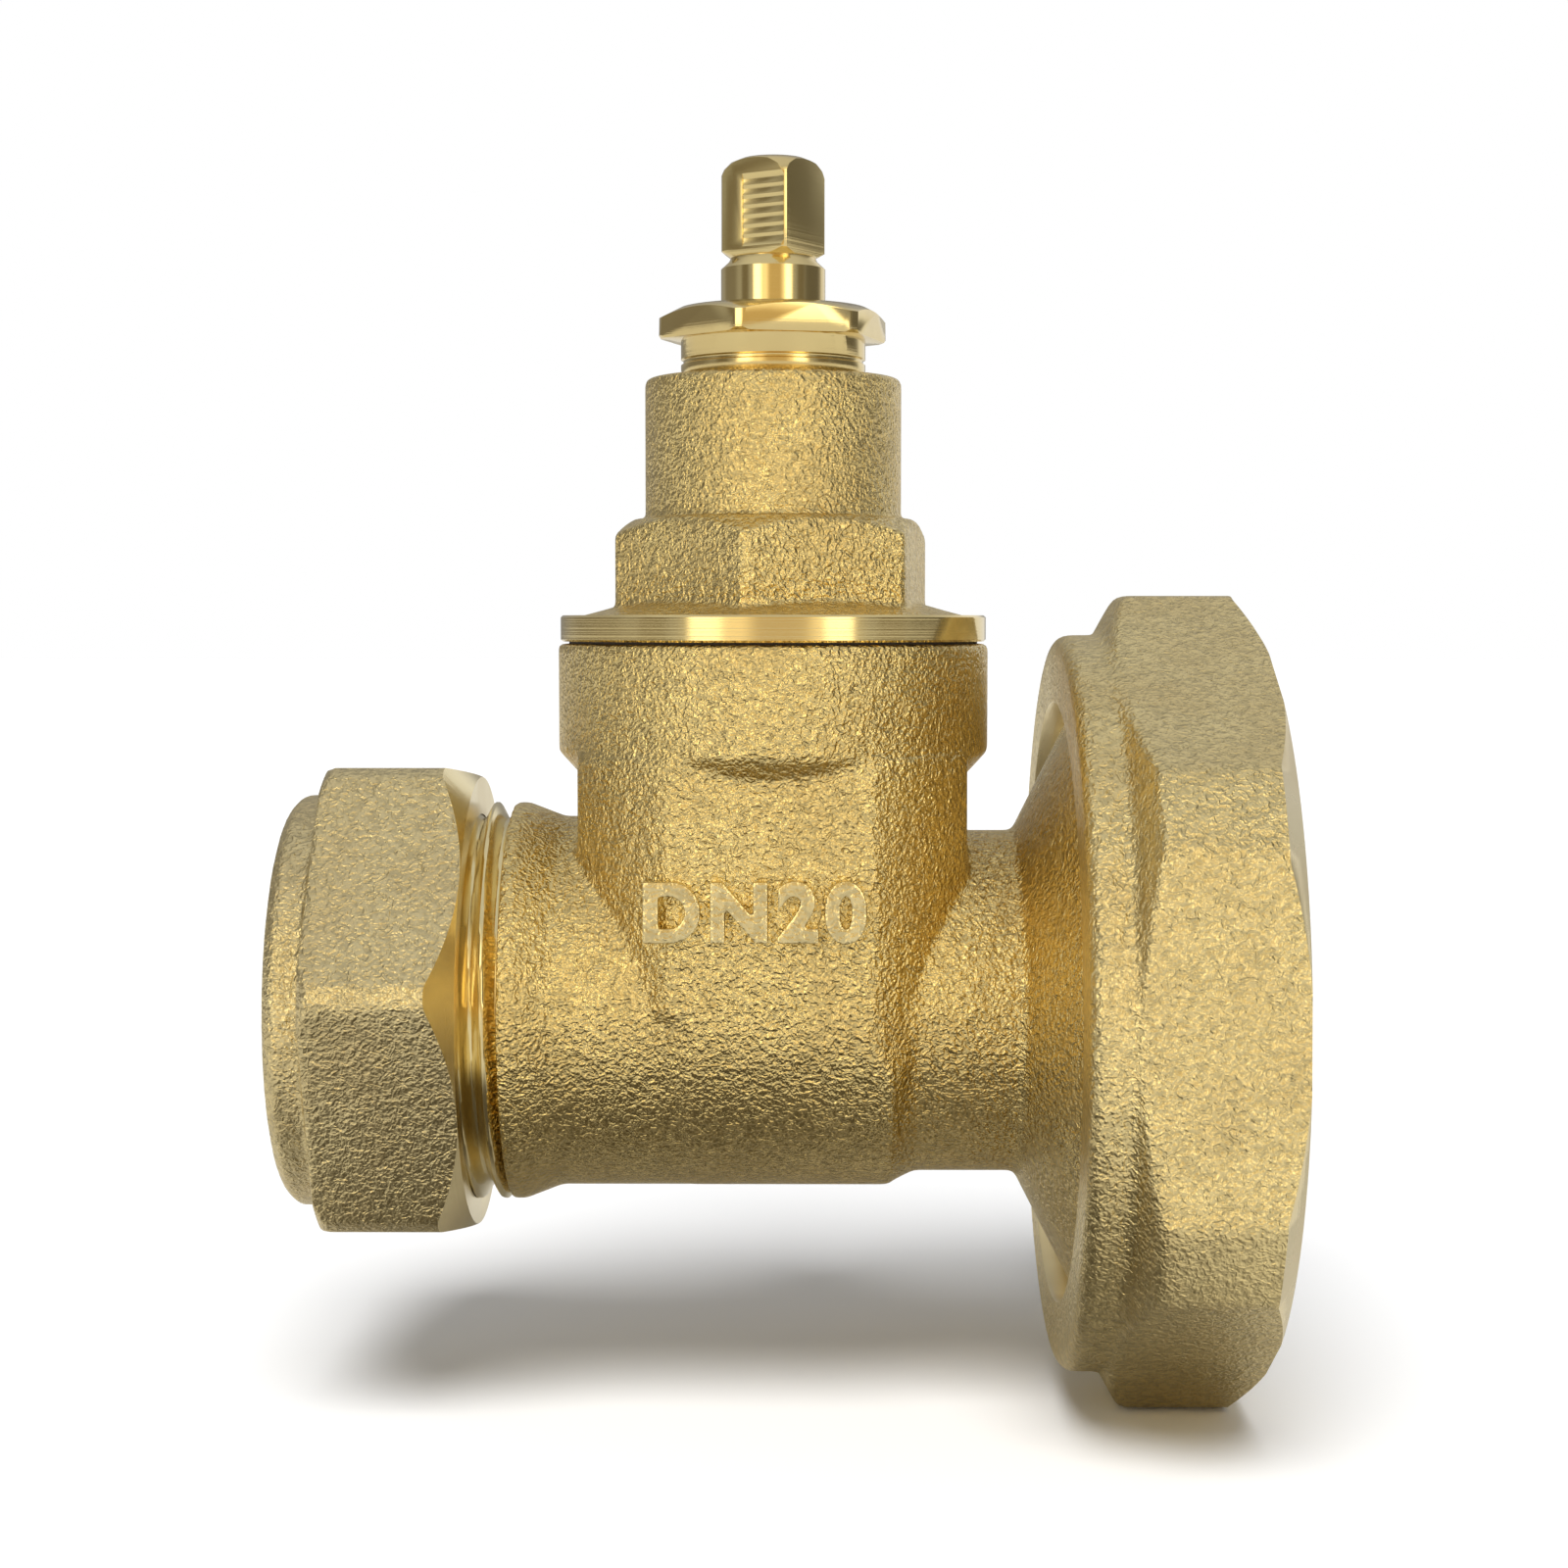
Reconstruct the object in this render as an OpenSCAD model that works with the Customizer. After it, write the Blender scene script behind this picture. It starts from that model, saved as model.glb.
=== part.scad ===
// Lockshield gate valve for a circulating pump.
// The origin is the centre of the sealing face that meets the pump. +X points out of
// the valve into the pump, and +Z points up the stem. Sizes are in millimetres.

/* [Overall] */
// Stem axis to the pump sealing face
centre_to_face = 28.3; // [27.8:0.1:40]
// Stem axis to the outer end of the compression nut
centre_to_pipe_end = 34.2; // [33.8:0.1:50]

/* [Waterway and gate] */
// Diameter of the waterway through the seats
waterway_d = 15; // [12:0.5:19]
// Width of the seat face around the waterway that the gate covers
seat_land = 0.9; // [0.6:0.1:1.6]
// Slope of each face of the tapered gate, in degrees
gate_taper = 5; // [3:0.5:7]
// Metal between the stem hole and each face of the gate
gate_wall = 1.9; // [1.5:0.1:2.6]
// Metal under the stem hole, at the foot of the gate
gate_floor = 1.6; // [1.2:0.1:2.4]
// Height of the threaded boss above the gate's disc
gate_boss_h = 6.6; // [5:0.2:9]
// Wall of the boss around the stem thread
gate_boss_wall = 2.6; // [2:0.1:3]
// Height of the neck between the gate's disc and its boss
gate_neck_h = 1.7; // [1:0.1:2.4]
// Height of the guide lugs above the gate's disc
lug_rise = 1.5; // [1:0.1:2.5]
// How far each guide lug stands out from the gate's disc
lug_depth = 1.8; // [1.2:0.1:2.4]
// Width of each guide lug
lug_w = 2.4; // [1.8:0.1:3.2]

/* [Stem] */
// Diameter of the stem's neck, collar shank and thread
stem_d = 7.4; // [6.4:0.1:9]
// Rise of the gate for one turn of the stem
stem_pitch = 2.5; // [2:0.25:3]
// Across flats of the square drive head
head_af = 5.5; // [5:0.1:6]
// Height of the square drive head
head_h = 6.6; // [4:0.1:9]
// Height of the crown turned on top of the drive head
head_crown = 1.3; // [0.8:0.1:1.6]
// Width of the groove between the neck and the drive head
head_groove_w = 0.7; // [0.5:0.1:1.2]
// Depth of that groove
groove_depth = 0.5; // [0.3:0.1:0.6]
// Neck of the stem that shows between the gland nut and the groove
neck_h = 3.3; // [2:0.1:6]
// How far the stem's collar stands out from the neck
collar_depth = 1.5; // [1.2:0.1:2]
// Thickness of the stem's collar
collar_h = 1.8; // [1.4:0.1:2.6]

/* [Gland] */
// Thickness of each thrust washer
thrust_washer_t = 0.5; // [0.4:0.1:1]
// Width of the packing, between the stem and the stuffing box
packing_w = 1.7; // [1.6:0.1:2.4]
// Height of each of the two packing rings
packing_ring_h = 1.5; // [1.2:0.1:2.6]
// Height of the gland follower
follower_h = 1.6; // [1.2:0.1:2.4]
// Step from the stuffing box out to the gland thread
gland_step = 0.8; // [0.6:0.1:1.4]
// Length of the gland nut's shank inside the bonnet
gland_engagement = 2.6; // [2.2:0.1:4]
// Length of the gland nut's shank above the bonnet
gland_shank_h = 2.7; // [1.6:0.1:3.4]
// Across flats of the gland nut
gland_af = 14.5; // [14.5:0.5:17]
// Thickness of the gland nut's hexagon
gland_hex_h = 2.2; // [1.8:0.1:4]

/* [Bonnet] */
// Wall of the bonnet's tower outside the gland thread
tower_wall = 2.9; // [1.8:0.1:3.4]
// Metal between the gate chamber and the stuffing box
bonnet_web = 2.2; // [1.6:0.1:3]
// Across flats of the bonnet's hexagon
bonnet_af = 20.5; // [20:0.5:24]
// Height of the bonnet's hexagon
bonnet_hex_h = 5.9; // [4.5:0.1:7]
// Thickness of the bonnet's flange
bonnet_flange_h = 1.6; // [1.2:0.1:2.6]
// Depth of the bonnet's threaded skirt below its flange
bonnet_skirt_h = 5.4; // [4.5:0.1:7]
// Rise of the shallow cone between the flange and the hexagon
bonnet_cone_h = 0.9; // [0.6:0.1:1.6]
// Wall of the bonnet's skirt
bonnet_skirt_wall = 1.75; // [1.5:0.05:2.2]
// Thickness of the gasket under the bonnet's flange
gasket_t = 0.4; // [0.3:0.1:1]

/* [Body] */
// Wall of the body's neck outside the bonnet thread
neck_wall = 2.75; // [2.2:0.05:3.6]
// Height of the round neck
body_neck_h = 7.6; // [6:0.1:10]
// How far the side flats are cut in from the neck
side_flat_depth = 1.85; // [1.2:0.05:2.2]
// How far the front and back flats are cut in from the neck
front_flat_depth = 1.35; // [1:0.05:1.8]
// Wall of the barrel outside the pipe socket
barrel_wall = 2.1; // [1.8:0.05:2.6]
// How far the barrel runs past the stem axis, to its step
barrel_past_centre = 8; // [5:0.1:9]
// Wall of the tail outside the waterway
tail_wall = 4.7; // [4.2:0.1:6]
// Slope of the flare that joins the tail to its flange, in degrees
flare_slope = 63; // [55:1:70]
// Thickness of the tail's flange
tail_flange_t = 3.15; // [2.4:0.05:5]
// Step at which the tail's flange overhangs the union nut's lip
tail_flange_overlap = 0.9; // [0.7:0.05:1.4]
// Radius of the waterway where it meets the pump
mouth_r = 15.5; // [13:0.5:17]

/* [Pipe end] */
// Outside diameter of the pipe
pipe_d = 22; // [20:0.5:28]
// Radial room around the pipe
pipe_room = 0.1; // [0.05:0.05:0.2]
// Wall of the pipe socket under the thread's crest
socket_wall = 3.1; // [2.8:0.1:3.6]
// Pitch of the compression thread
pipe_thread_pitch = 1.8; // [1:0.1:2]
// Stem axis to the end of the pipe, where it meets its stop
centre_to_pipe_stop = 12.5; // [12:0.5:14.5]
// Stem axis to the end of the compression thread
centre_to_thread = 18.5; // [17.5:0.1:20]
// Width of the shoulder behind the compression thread
shoulder_w = 2.3; // [1.5:0.1:3]
// Length of the compression nut
pipe_nut_len = 13.2; // [12.4:0.2:16]
// Wall of the compression nut between its flats and its thread
pipe_nut_wall = 1.8; // [1.6:0.1:3.5]
// Width of the round collar on the compression nut
pipe_nut_collar_w = 2.9; // [2:0.1:4]
// Wall of that collar outside the thread
pipe_nut_collar_wall = 0.5; // [0.4:0.1:1.4]
// Thickness of the compression nut's end wall
pipe_nut_end = 2.4; // [2:0.1:3]
// Length of the olive
olive_len = 6.4; // [5.5:0.1:8]
// Wall of the olive
olive_wall = 1.4; // [1.1:0.1:1.6]
// Gap that tightening closes between the olive and the body
olive_gap = 0.7; // [0.5:0.1:1.2]

/* [Union nut and washer] */
// Outside diameter of the union thread
union_thread_d = 47.8; // [44:0.1:60]
// Pitch of the union thread
union_pitch = 2.3; // [2:0.1:2.5]
// Length of the union nut
union_nut_len = 13.7; // [12:0.1:19]
// Wall of the union nut between its flats and its thread
union_nut_wall = 2.6; // [2:0.1:3.4]
// Wall of the round collar outside the thread
union_collar_wall = 2.3; // [1.6:0.1:3]
// How far the corners of the union nut are turned down
union_corner_trim = 1.6; // [0.4:0.1:2.4]
// Width of the round collar
union_collar_w = 3; // [2.5:0.1:4]
// Thickness of the lip that pulls on the tail's flange
union_lip_t = 2.95; // [2.4:0.05:4]
// Thickness of the pump washer
washer_t = 2; // [1.5:0.5:3]
// Width of the pump washer's ring
washer_w = 6; // [4:0.5:7]

/* [Hidden] */
$fn = 96;

brass = "darkgoldenrod";
over = 1;              // how far a cutting shape runs past what it cuts
thread_room = 0.05;    // radial room between a male and a female thread
slide_room = 0.3;      // room around the gate where it slides
face_room = 0.05;      // room between faces that only just touch
stem_room = 0.1;       // radial room around the stem and around what slides in the stuffing box
packing_room = 0.03;   // radial room around the packing rings
nut_room = 0.1;        // end room of the union nut against the tail's flange
end_room = 0.4;        // room left above the gate, and under the stem, at the ends of the travel
skirt_room = 0.6;      // radial room between the guide lugs and the bonnet's skirt
chamber_room = 1;      // radial room around the gate's disc in the body's chamber
gasket_setback = 0.75; // how far the gasket stands in from the body's neck
flange_setback = 0.15; // how far the bonnet's flange stands in from the body's neck
hex_crown = 0.8;       // depth of the chamfer turned on a hexagon's corners
gland_shoulder = 0.35; // how far the gland nut's shank stands out above its thread
chamber_corner = 0.35; // how far the chamber's corners stand out from the neck
neck_undercut = 2.2;   // depth of the slope under the neck
mouth_lead = 5.21;     // how far before the flare the waterway starts to widen
small_chamfer = 0.5;   // lead-in chamfer at the start of a thread
roof_rise = 0.55;      // height of the skirt's roof above the underside of the flange

// Hexagon corners and the stem's square, turned as they happen to be left
pipe_nut_turn = 8;
union_nut_turn = 32;
bonnet_turn = 20.5;
gland_turn = 13.7;
head_turn = 12.5;

// A modelled thread is a plain wall at its pitch diameter
function pitch_r(major_d, pitch) = major_d/2 - 0.32*pitch;

// Gate and waterway. Heights are above the pipe axis, with the gate shut.
bore_r = waterway_d/2;
disc_r = bore_r + seat_land;
stem_r = stem_d/2;
stem_thread_r = pitch_r(stem_d, stem_pitch/2);
slot_half = stem_r + gate_wall;
boss_r = stem_r + gate_boss_wall;
boss_top = disc_r + gate_boss_h;
lug_r = disc_r + lug_depth;
lug_top = disc_r + lug_rise;
lug_bottom = -disc_r/2;
lift = ceil((bore_r + disc_r)/stem_pitch*2)/2*stem_pitch;
chamber_r = disc_r + chamber_room;
stem_tip = lift - disc_r + gate_floor + end_room;

// Bonnet
skirt_in_r = lug_r + skirt_room;
bonnet_thread_r = skirt_in_r + bonnet_skirt_wall;
skirt_roof = lug_top + lift + end_room;
flange_z = skirt_roof - roof_rise;
flange_top = flange_z + bonnet_flange_h;
hex_z = flange_top + bonnet_cone_h;
hex_top = hex_z + bonnet_hex_h;
gate_roof = boss_top + lift + 2*end_room;
box_floor = gate_roof + bonnet_web;
box_r = stem_r + packing_w;
gland_thread_r = box_r + gland_step;
tower_r = gland_thread_r + tower_wall;

// Gland stack, upwards from the floor of the stuffing box
collar_z = box_floor + thrust_washer_t + face_room;
collar_top = collar_z + collar_h;
upper_washer_z = collar_top + face_room;
packing_z = upper_washer_z + thrust_washer_t;
follower_z = packing_z + 2*packing_ring_h;
gland_nut_z = follower_z + follower_h;
tower_top = gland_nut_z + gland_engagement;
gland_step_z = gland_nut_z - follower_h/2;   // floor of the gland thread's counterbore
gland_hex_z = tower_top + gland_shank_h;
gland_top = gland_hex_z + gland_hex_h;
neck_top = gland_top + neck_h;
head_z = neck_top + head_groove_w;
head_top = head_z + head_h;

// Body
gasket_z = flange_z - gasket_t;
neck_r = bonnet_thread_r + neck_wall;
neck_z = gasket_z - body_neck_h;
skirt_z = flange_z - bonnet_skirt_h;
chamber_top = skirt_z - face_room;
side_x = neck_r - side_flat_depth;
front_y = neck_r - front_flat_depth;

// Pipe end. Distances along X are from the stem axis.
socket_r = pipe_d/2 + pipe_room;
barrel_r = socket_r + barrel_wall;
pipe_thread_r = pitch_r(2*(socket_r + socket_wall), pipe_thread_pitch);
shoulder_r = socket_r + socket_wall;
pipe_nut_x = -centre_to_pipe_end;
pipe_nut_af = 2*(shoulder_r + pipe_nut_wall);
pipe_nut_collar_r = shoulder_r + pipe_nut_collar_wall;
nut_cone_x = pipe_nut_x + pipe_nut_end;
olive_flat = 0.1;      // flat left at each end of the olive
olive_x = nut_cone_x + olive_flat + face_room;
olive_out_r = socket_r + olive_wall;
socket_mouth_r = socket_r + olive_wall + 0.35;
body_end_x = olive_x + olive_len - (socket_mouth_r - socket_r - olive_flat) + olive_gap;

// Pump end
tail_end_x = centre_to_face - washer_t;
tail_r = bore_r + tail_wall;
union_thread_r = pitch_r(union_thread_d, union_pitch);
tail_flange_r = union_thread_d/2 - 0.64*union_pitch - 0.22;
lip_r = tail_flange_r - tail_flange_overlap;
flange_back_x = tail_end_x - tail_flange_t;
union_nut_x = flange_back_x - nut_room - union_lip_t;
union_nut_end = union_nut_x + union_nut_len;
union_af = union_thread_d + 2*union_nut_wall;
union_collar_r = union_thread_d/2 + union_collar_wall;
flare_top_r = lip_r - 0.2;
flare_end_x = flange_back_x - 1.4;
flare_x = flare_end_x - (flare_top_r - tail_r)/tan(flare_slope);
tail_bore_x = flare_x - mouth_lead;

module at_centre() translate([-centre_to_face, 0, 0]) children();

// A solid of revolution about X, from points of [radius, x]
module turned_x(points) rotate([0, 90, 0]) rotate_extrude() polygon(points);

// A solid of revolution about Z, from points of [radius, z]
module turned_z(points) rotate_extrude() polygon(points);

module hexagon_x(af, x, len, turn)
    translate([x, 0, 0]) rotate([0, 90, 0]) rotate(30 - turn) cylinder(r=af/2/cos(30), h=len, $fn=6);

module hexagon_z(af, z, h, turn)
    translate([0, 0, z]) rotate(turn) cylinder(r=af/2/cos(30), h=h, $fn=6);

module ring_z(r_out, r_in, z, h) turned_z([[r_in, z], [r_out, z], [r_out, z + h], [r_in, z + h]]);

// Radius to which a hexagon's corners are turned down
function corner_r(af, trim=0.2) = af/2/cos(30) - trim;

// ---- Body ----

module body_chamber() {
    foot = -barrel_r/3;
    intersection() {
        translate([0, 0, foot]) cylinder(r=neck_r + chamber_corner, h=neck_z - foot);
        translate([-side_x, -front_y, foot]) cube([2*side_x, 2*front_y, neck_z - foot]);
    }
}

module body_outer() {
    slope_x = barrel_r - tail_r;
    turned_x([[0, body_end_x], [pipe_thread_r - 0.6, body_end_x], [pipe_thread_r, body_end_x + 0.6],
        [pipe_thread_r, -centre_to_thread], [shoulder_r, -centre_to_thread],
        [shoulder_r, -centre_to_thread + shoulder_w],
        [barrel_r, -centre_to_thread + shoulder_w + shoulder_r - barrel_r],
        [barrel_r, barrel_past_centre], [tail_r, barrel_past_centre + 2*slope_x],
        [tail_r, flare_x], [flare_top_r, flare_end_x], [flare_top_r, flange_back_x],
        [tail_flange_r, flange_back_x], [tail_flange_r, tail_end_x], [0, tail_end_x]]);
    body_chamber();
    turned_z([[0, 0], [neck_r - neck_undercut, 0], [neck_r - neck_undercut, neck_z - neck_undercut],
        [neck_r, neck_z + neck_undercut/4], [neck_r, gasket_z], [0, gasket_z]]);
}

module gate_slot() {
    low = -disc_r - slide_room;
    high = disc_r + 1.3;
    slope = tan(gate_taper);
    half = slot_half + face_room;
    intersection() {
        translate([0, disc_r + slide_room, 0]) rotate([90, 0, 0])
            linear_extrude(2*(disc_r + slide_room)) polygon([[-half - low*slope, low],
                [half + low*slope, low], [half + high*slope, high],
                [half + high*slope, chamber_top], [-half - high*slope, chamber_top],
                [-half - high*slope, high]]);
        union() {
            translate([-2*half, 0, 0]) rotate([0, 90, 0]) cylinder(r=disc_r + slide_room, h=4*half);
            translate([-2*half, -disc_r - slide_room, 0])
                cube([4*half, 2*(disc_r + slide_room), chamber_top + over]);
        }
    }
}

module valve_body() color(brass) at_centre() difference() {
    body_outer();
    // pipe socket with its mouth, pipe stop and waterway
    turned_x([[0, body_end_x - over], [socket_mouth_r + over, body_end_x - over],
        [socket_r, body_end_x + socket_mouth_r - socket_r], [socket_r, -centre_to_pipe_stop],
        [bore_r, -centre_to_pipe_stop], [bore_r, tail_bore_x], [mouth_r, tail_end_x - 2],
        [mouth_r, tail_end_x + over], [0, tail_end_x + over]]);
    gate_slot();
    translate([0, 0, disc_r + 1.2]) cylinder(r=chamber_r, h=chamber_top - disc_r);
    translate([-lug_w/2 - slide_room/2, -lug_r - slide_room, lug_bottom - slide_room])
        cube([lug_w + slide_room, 2*(lug_r + slide_room), chamber_top - lug_bottom + slide_room]);
    translate([0, 0, chamber_top]) cylinder(r=bonnet_thread_r, h=gasket_z - chamber_top + over);
}

// ---- Gate ----

module gate_wedge() color(brass) at_centre() difference() {
    union() {
        intersection() {
            slope = tan(gate_taper);
            translate([0, disc_r, 0]) rotate([90, 0, 0]) linear_extrude(2*disc_r)
                polygon([[-slot_half + disc_r*slope, -disc_r], [slot_half - disc_r*slope, -disc_r],
                    [slot_half + disc_r*slope, disc_r], [-slot_half - disc_r*slope, disc_r]]);
            translate([-2*slot_half, 0, 0]) rotate([0, 90, 0]) cylinder(r=disc_r, h=4*slot_half);
        }
        translate([-lug_w/2, -lug_r, lug_bottom]) cube([lug_w, 2*lug_r, lug_top - lug_bottom]);
        translate([0, 0, disc_r/2]) cylinder(r=slot_half, h=disc_r/2 + gate_neck_h + over);
        translate([0, 0, disc_r + gate_neck_h]) cylinder(r=boss_r, h=gate_boss_h - gate_neck_h);
    }
    translate([0, 0, gate_floor - disc_r]) cylinder(r=stem_thread_r + thread_room, h=disc_r + boss_top);
}

// ---- Stem ----

module stem() color("goldenrod") at_centre() {
    turned_z([[0, stem_tip], [stem_thread_r - small_chamfer, stem_tip],
        [stem_thread_r, stem_tip + small_chamfer], [stem_thread_r, gate_roof - end_room],
        [stem_r, gate_roof - end_room], [stem_r, collar_z],
        [stem_r + collar_depth, collar_z], [stem_r + collar_depth, collar_top],
        [stem_r, collar_top], [stem_r, neck_top - groove_depth], [stem_r - groove_depth, neck_top],
        [stem_r - groove_depth, head_z], [0, head_z]]);
    intersection() {
        turned_z([[0, neck_top + groove_depth/2], [stem_r - groove_depth, neck_top + groove_depth/2],
            [stem_r, head_z], [stem_r, head_top - head_crown],
            [stem_r - head_crown/2, head_top - head_crown/3], [stem_r - 1.2*head_crown, head_top],
            [0, head_top]]);
        rotate(45 + head_turn) translate([-head_af/2, -head_af/2, neck_top])
            cube([head_af, head_af, head_h + head_groove_w]);
    }
}

// ---- Bonnet and its gasket ----

module bonnet() color(brass) at_centre() difference() {
    corner = corner_r(bonnet_af);
    thread_r = bonnet_thread_r - thread_room;
    flange_r = neck_r - flange_setback;
    union() {
        turned_z([[0, skirt_z], [thread_r - small_chamfer, skirt_z],
            [thread_r, skirt_z + small_chamfer], [thread_r, flange_z], [flange_r, flange_z],
            [flange_r, flange_top], [corner + small_chamfer, flange_top + bonnet_cone_h/3],
            [bonnet_af/2 - small_chamfer, hex_z], [0, hex_z]]);
        intersection() {
            hexagon_z(bonnet_af, flange_top, hex_top - flange_top, bonnet_turn);
            turned_z([[0, flange_top], [corner, flange_top], [corner, hex_top - hex_crown],
                [corner - 2*hex_crown, hex_top], [0, hex_top]]);
        }
        turned_z([[0, hex_z], [tower_r, hex_z], [tower_r, tower_top - hex_crown],
            [tower_r - hex_crown, tower_top], [0, tower_top]]);
    }
    translate([0, 0, skirt_z - over]) cylinder(r=skirt_in_r, h=skirt_roof - skirt_z + over);
    cylinder(r=boss_r + skirt_room, h=gate_roof);
    cylinder(r=stem_r + stem_room, h=box_floor + over);
    translate([0, 0, box_floor]) cylinder(r=box_r, h=tower_top);
    translate([0, 0, gland_step_z]) cylinder(r=gland_thread_r, h=tower_top);
}

module bonnet_gasket() color("dimgray") at_centre()
    ring_z(neck_r - gasket_setback, bonnet_thread_r, gasket_z, gasket_t);

// ---- Gland ----

module thrust_washer_lower() color("ivory") at_centre()
    ring_z(box_r - stem_room, stem_r + stem_room, box_floor, thrust_washer_t);

module thrust_washer_upper() color("ivory") at_centre()
    ring_z(box_r - stem_room, stem_r + stem_room, upper_washer_z, thrust_washer_t);

module packing_ring(z) color("white") at_centre()
    ring_z(box_r - packing_room, stem_r + packing_room, z, packing_ring_h);

module packing_ring_lower() packing_ring(packing_z);

module packing_ring_upper() packing_ring(packing_z + packing_ring_h);

module gland_follower() color("goldenrod") at_centre()
    ring_z(box_r - stem_room, stem_r + stem_room, follower_z, follower_h);

module gland_nut() color("goldenrod") at_centre() difference() {
    shank_r = gland_thread_r - thread_room;
    corner = corner_r(gland_af);
    union() {
        turned_z([[0, gland_nut_z], [shank_r - small_chamfer, gland_nut_z],
            [shank_r, gland_nut_z + small_chamfer], [shank_r, tower_top + small_chamfer],
            [gland_thread_r + gland_shoulder, tower_top + small_chamfer],
            [gland_thread_r + gland_shoulder, gland_hex_z + small_chamfer],
            [0, gland_hex_z + small_chamfer]]);
        intersection() {
            hexagon_z(gland_af, gland_hex_z, gland_hex_h, gland_turn);
            turned_z([[0, gland_hex_z], [corner - small_chamfer, gland_hex_z],
                [corner, gland_hex_z + small_chamfer], [corner, gland_top - hex_crown],
                [corner - 2*hex_crown, gland_top], [0, gland_top]]);
        }
    }
    translate([0, 0, gland_nut_z - over])
        cylinder(r=stem_r + stem_room, h=gland_top - gland_nut_z + 2*over);
}

// ---- Pipe end ----

module compression_nut() color(brass) at_centre() difference() {
    nut_end = pipe_nut_x + pipe_nut_len;
    corner = corner_r(pipe_nut_af, 0.4);
    hex_x = pipe_nut_x + pipe_nut_collar_w;
    thread_x = nut_cone_x + pipe_thread_r + thread_room - socket_r;
    union() {
        turned_x([[0, pipe_nut_x], [pipe_nut_collar_r - 0.9, pipe_nut_x],
            [pipe_nut_collar_r, pipe_nut_x + 0.9], [pipe_nut_collar_r, hex_x + 1], [0, hex_x + 1]]);
        intersection() {
            hexagon_x(pipe_nut_af, hex_x, nut_end - hex_x, pipe_nut_turn);
            turned_x([[0, hex_x], [corner - 1, hex_x], [corner, hex_x + 0.8],
                [corner, nut_end - 2.8], [corner - 2.8, nut_end], [0, nut_end]]);
        }
    }
    turned_x([[0, pipe_nut_x - over], [socket_r, pipe_nut_x - over], [socket_r, nut_cone_x],
        [pipe_thread_r + thread_room, thread_x], [pipe_thread_r + thread_room, nut_end + over],
        [0, nut_end + over]]);
}

module olive() color("gold") at_centre() {
    tip = olive_wall - olive_flat;
    turned_x([[socket_r, olive_x], [socket_r + olive_flat, olive_x], [olive_out_r, olive_x + tip],
        [olive_out_r, olive_x + olive_len - tip], [socket_r + olive_flat, olive_x + olive_len],
        [socket_r, olive_x + olive_len]]);
}

// ---- Pump end ----

module union_nut() color(brass) at_centre() difference() {
    corner = corner_r(union_af, union_corner_trim);
    hex_x = union_nut_x + union_collar_w;
    thread_x = centre_to_face - nut_room;
    relief_r = union_thread_d/2;
    union() {
        turned_x([[0, union_nut_x], [union_collar_r - 0.6, union_nut_x],
            [union_collar_r, union_nut_x + 0.6], [union_collar_r, hex_x], [0, hex_x]]);
        intersection() {
            hexagon_x(union_af, hex_x - 1, union_nut_end - hex_x + 1, union_nut_turn);
            turned_x([[0, hex_x - 1], [union_collar_r - 0.4, hex_x - 1], [union_collar_r - 0.4, hex_x],
                [corner, hex_x + 1.4], [corner, union_nut_end - 1.3],
                [corner - 2.3, union_nut_end], [0, union_nut_end]]);
        }
    }
    turned_x([[0, union_nut_x - over], [lip_r + 0.8 + over, union_nut_x - over], [lip_r, union_nut_x + 0.8],
        [lip_r, union_nut_x + union_lip_t], [relief_r, union_nut_x + union_lip_t], [relief_r, thread_x],
        [union_thread_r, thread_x], [union_thread_r, union_nut_end + over], [0, union_nut_end + over]]);
}

module pump_washer() color("black") at_centre()
    turned_x([[tail_flange_r - 0.2 - washer_w, tail_end_x], [tail_flange_r - 0.2, tail_end_x],
        [tail_flange_r - 0.2, centre_to_face], [tail_flange_r - 0.2 - washer_w, centre_to_face]]);

valve_body();
gate_wedge();
stem();
bonnet();
bonnet_gasket();
thrust_washer_lower();
thrust_washer_upper();
packing_ring_lower();
packing_ring_upper();
gland_follower();
gland_nut();
compression_nut();
olive();
union_nut();
pump_washer();
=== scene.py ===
import math

import bpy
from mathutils import Matrix, Vector


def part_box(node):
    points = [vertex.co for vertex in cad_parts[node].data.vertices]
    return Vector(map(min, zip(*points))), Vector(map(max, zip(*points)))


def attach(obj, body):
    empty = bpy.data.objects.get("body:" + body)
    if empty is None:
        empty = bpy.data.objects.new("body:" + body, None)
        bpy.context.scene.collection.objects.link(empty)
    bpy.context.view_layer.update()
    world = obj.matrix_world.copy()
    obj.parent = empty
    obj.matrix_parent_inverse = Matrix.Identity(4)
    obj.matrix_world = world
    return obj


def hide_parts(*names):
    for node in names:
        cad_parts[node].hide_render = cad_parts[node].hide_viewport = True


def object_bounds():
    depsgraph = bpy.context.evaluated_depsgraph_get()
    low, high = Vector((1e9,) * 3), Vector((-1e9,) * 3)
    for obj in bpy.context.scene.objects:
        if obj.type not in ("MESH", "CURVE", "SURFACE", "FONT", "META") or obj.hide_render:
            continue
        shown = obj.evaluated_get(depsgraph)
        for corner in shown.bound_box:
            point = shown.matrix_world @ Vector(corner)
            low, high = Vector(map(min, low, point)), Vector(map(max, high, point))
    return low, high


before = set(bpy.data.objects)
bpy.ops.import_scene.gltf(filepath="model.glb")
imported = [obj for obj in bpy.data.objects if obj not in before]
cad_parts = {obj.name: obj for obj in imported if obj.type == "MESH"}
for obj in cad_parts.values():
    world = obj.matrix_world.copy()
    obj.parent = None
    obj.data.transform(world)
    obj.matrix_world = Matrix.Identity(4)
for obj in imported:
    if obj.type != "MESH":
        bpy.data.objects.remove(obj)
cad_box = [list(corner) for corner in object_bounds()]

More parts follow.
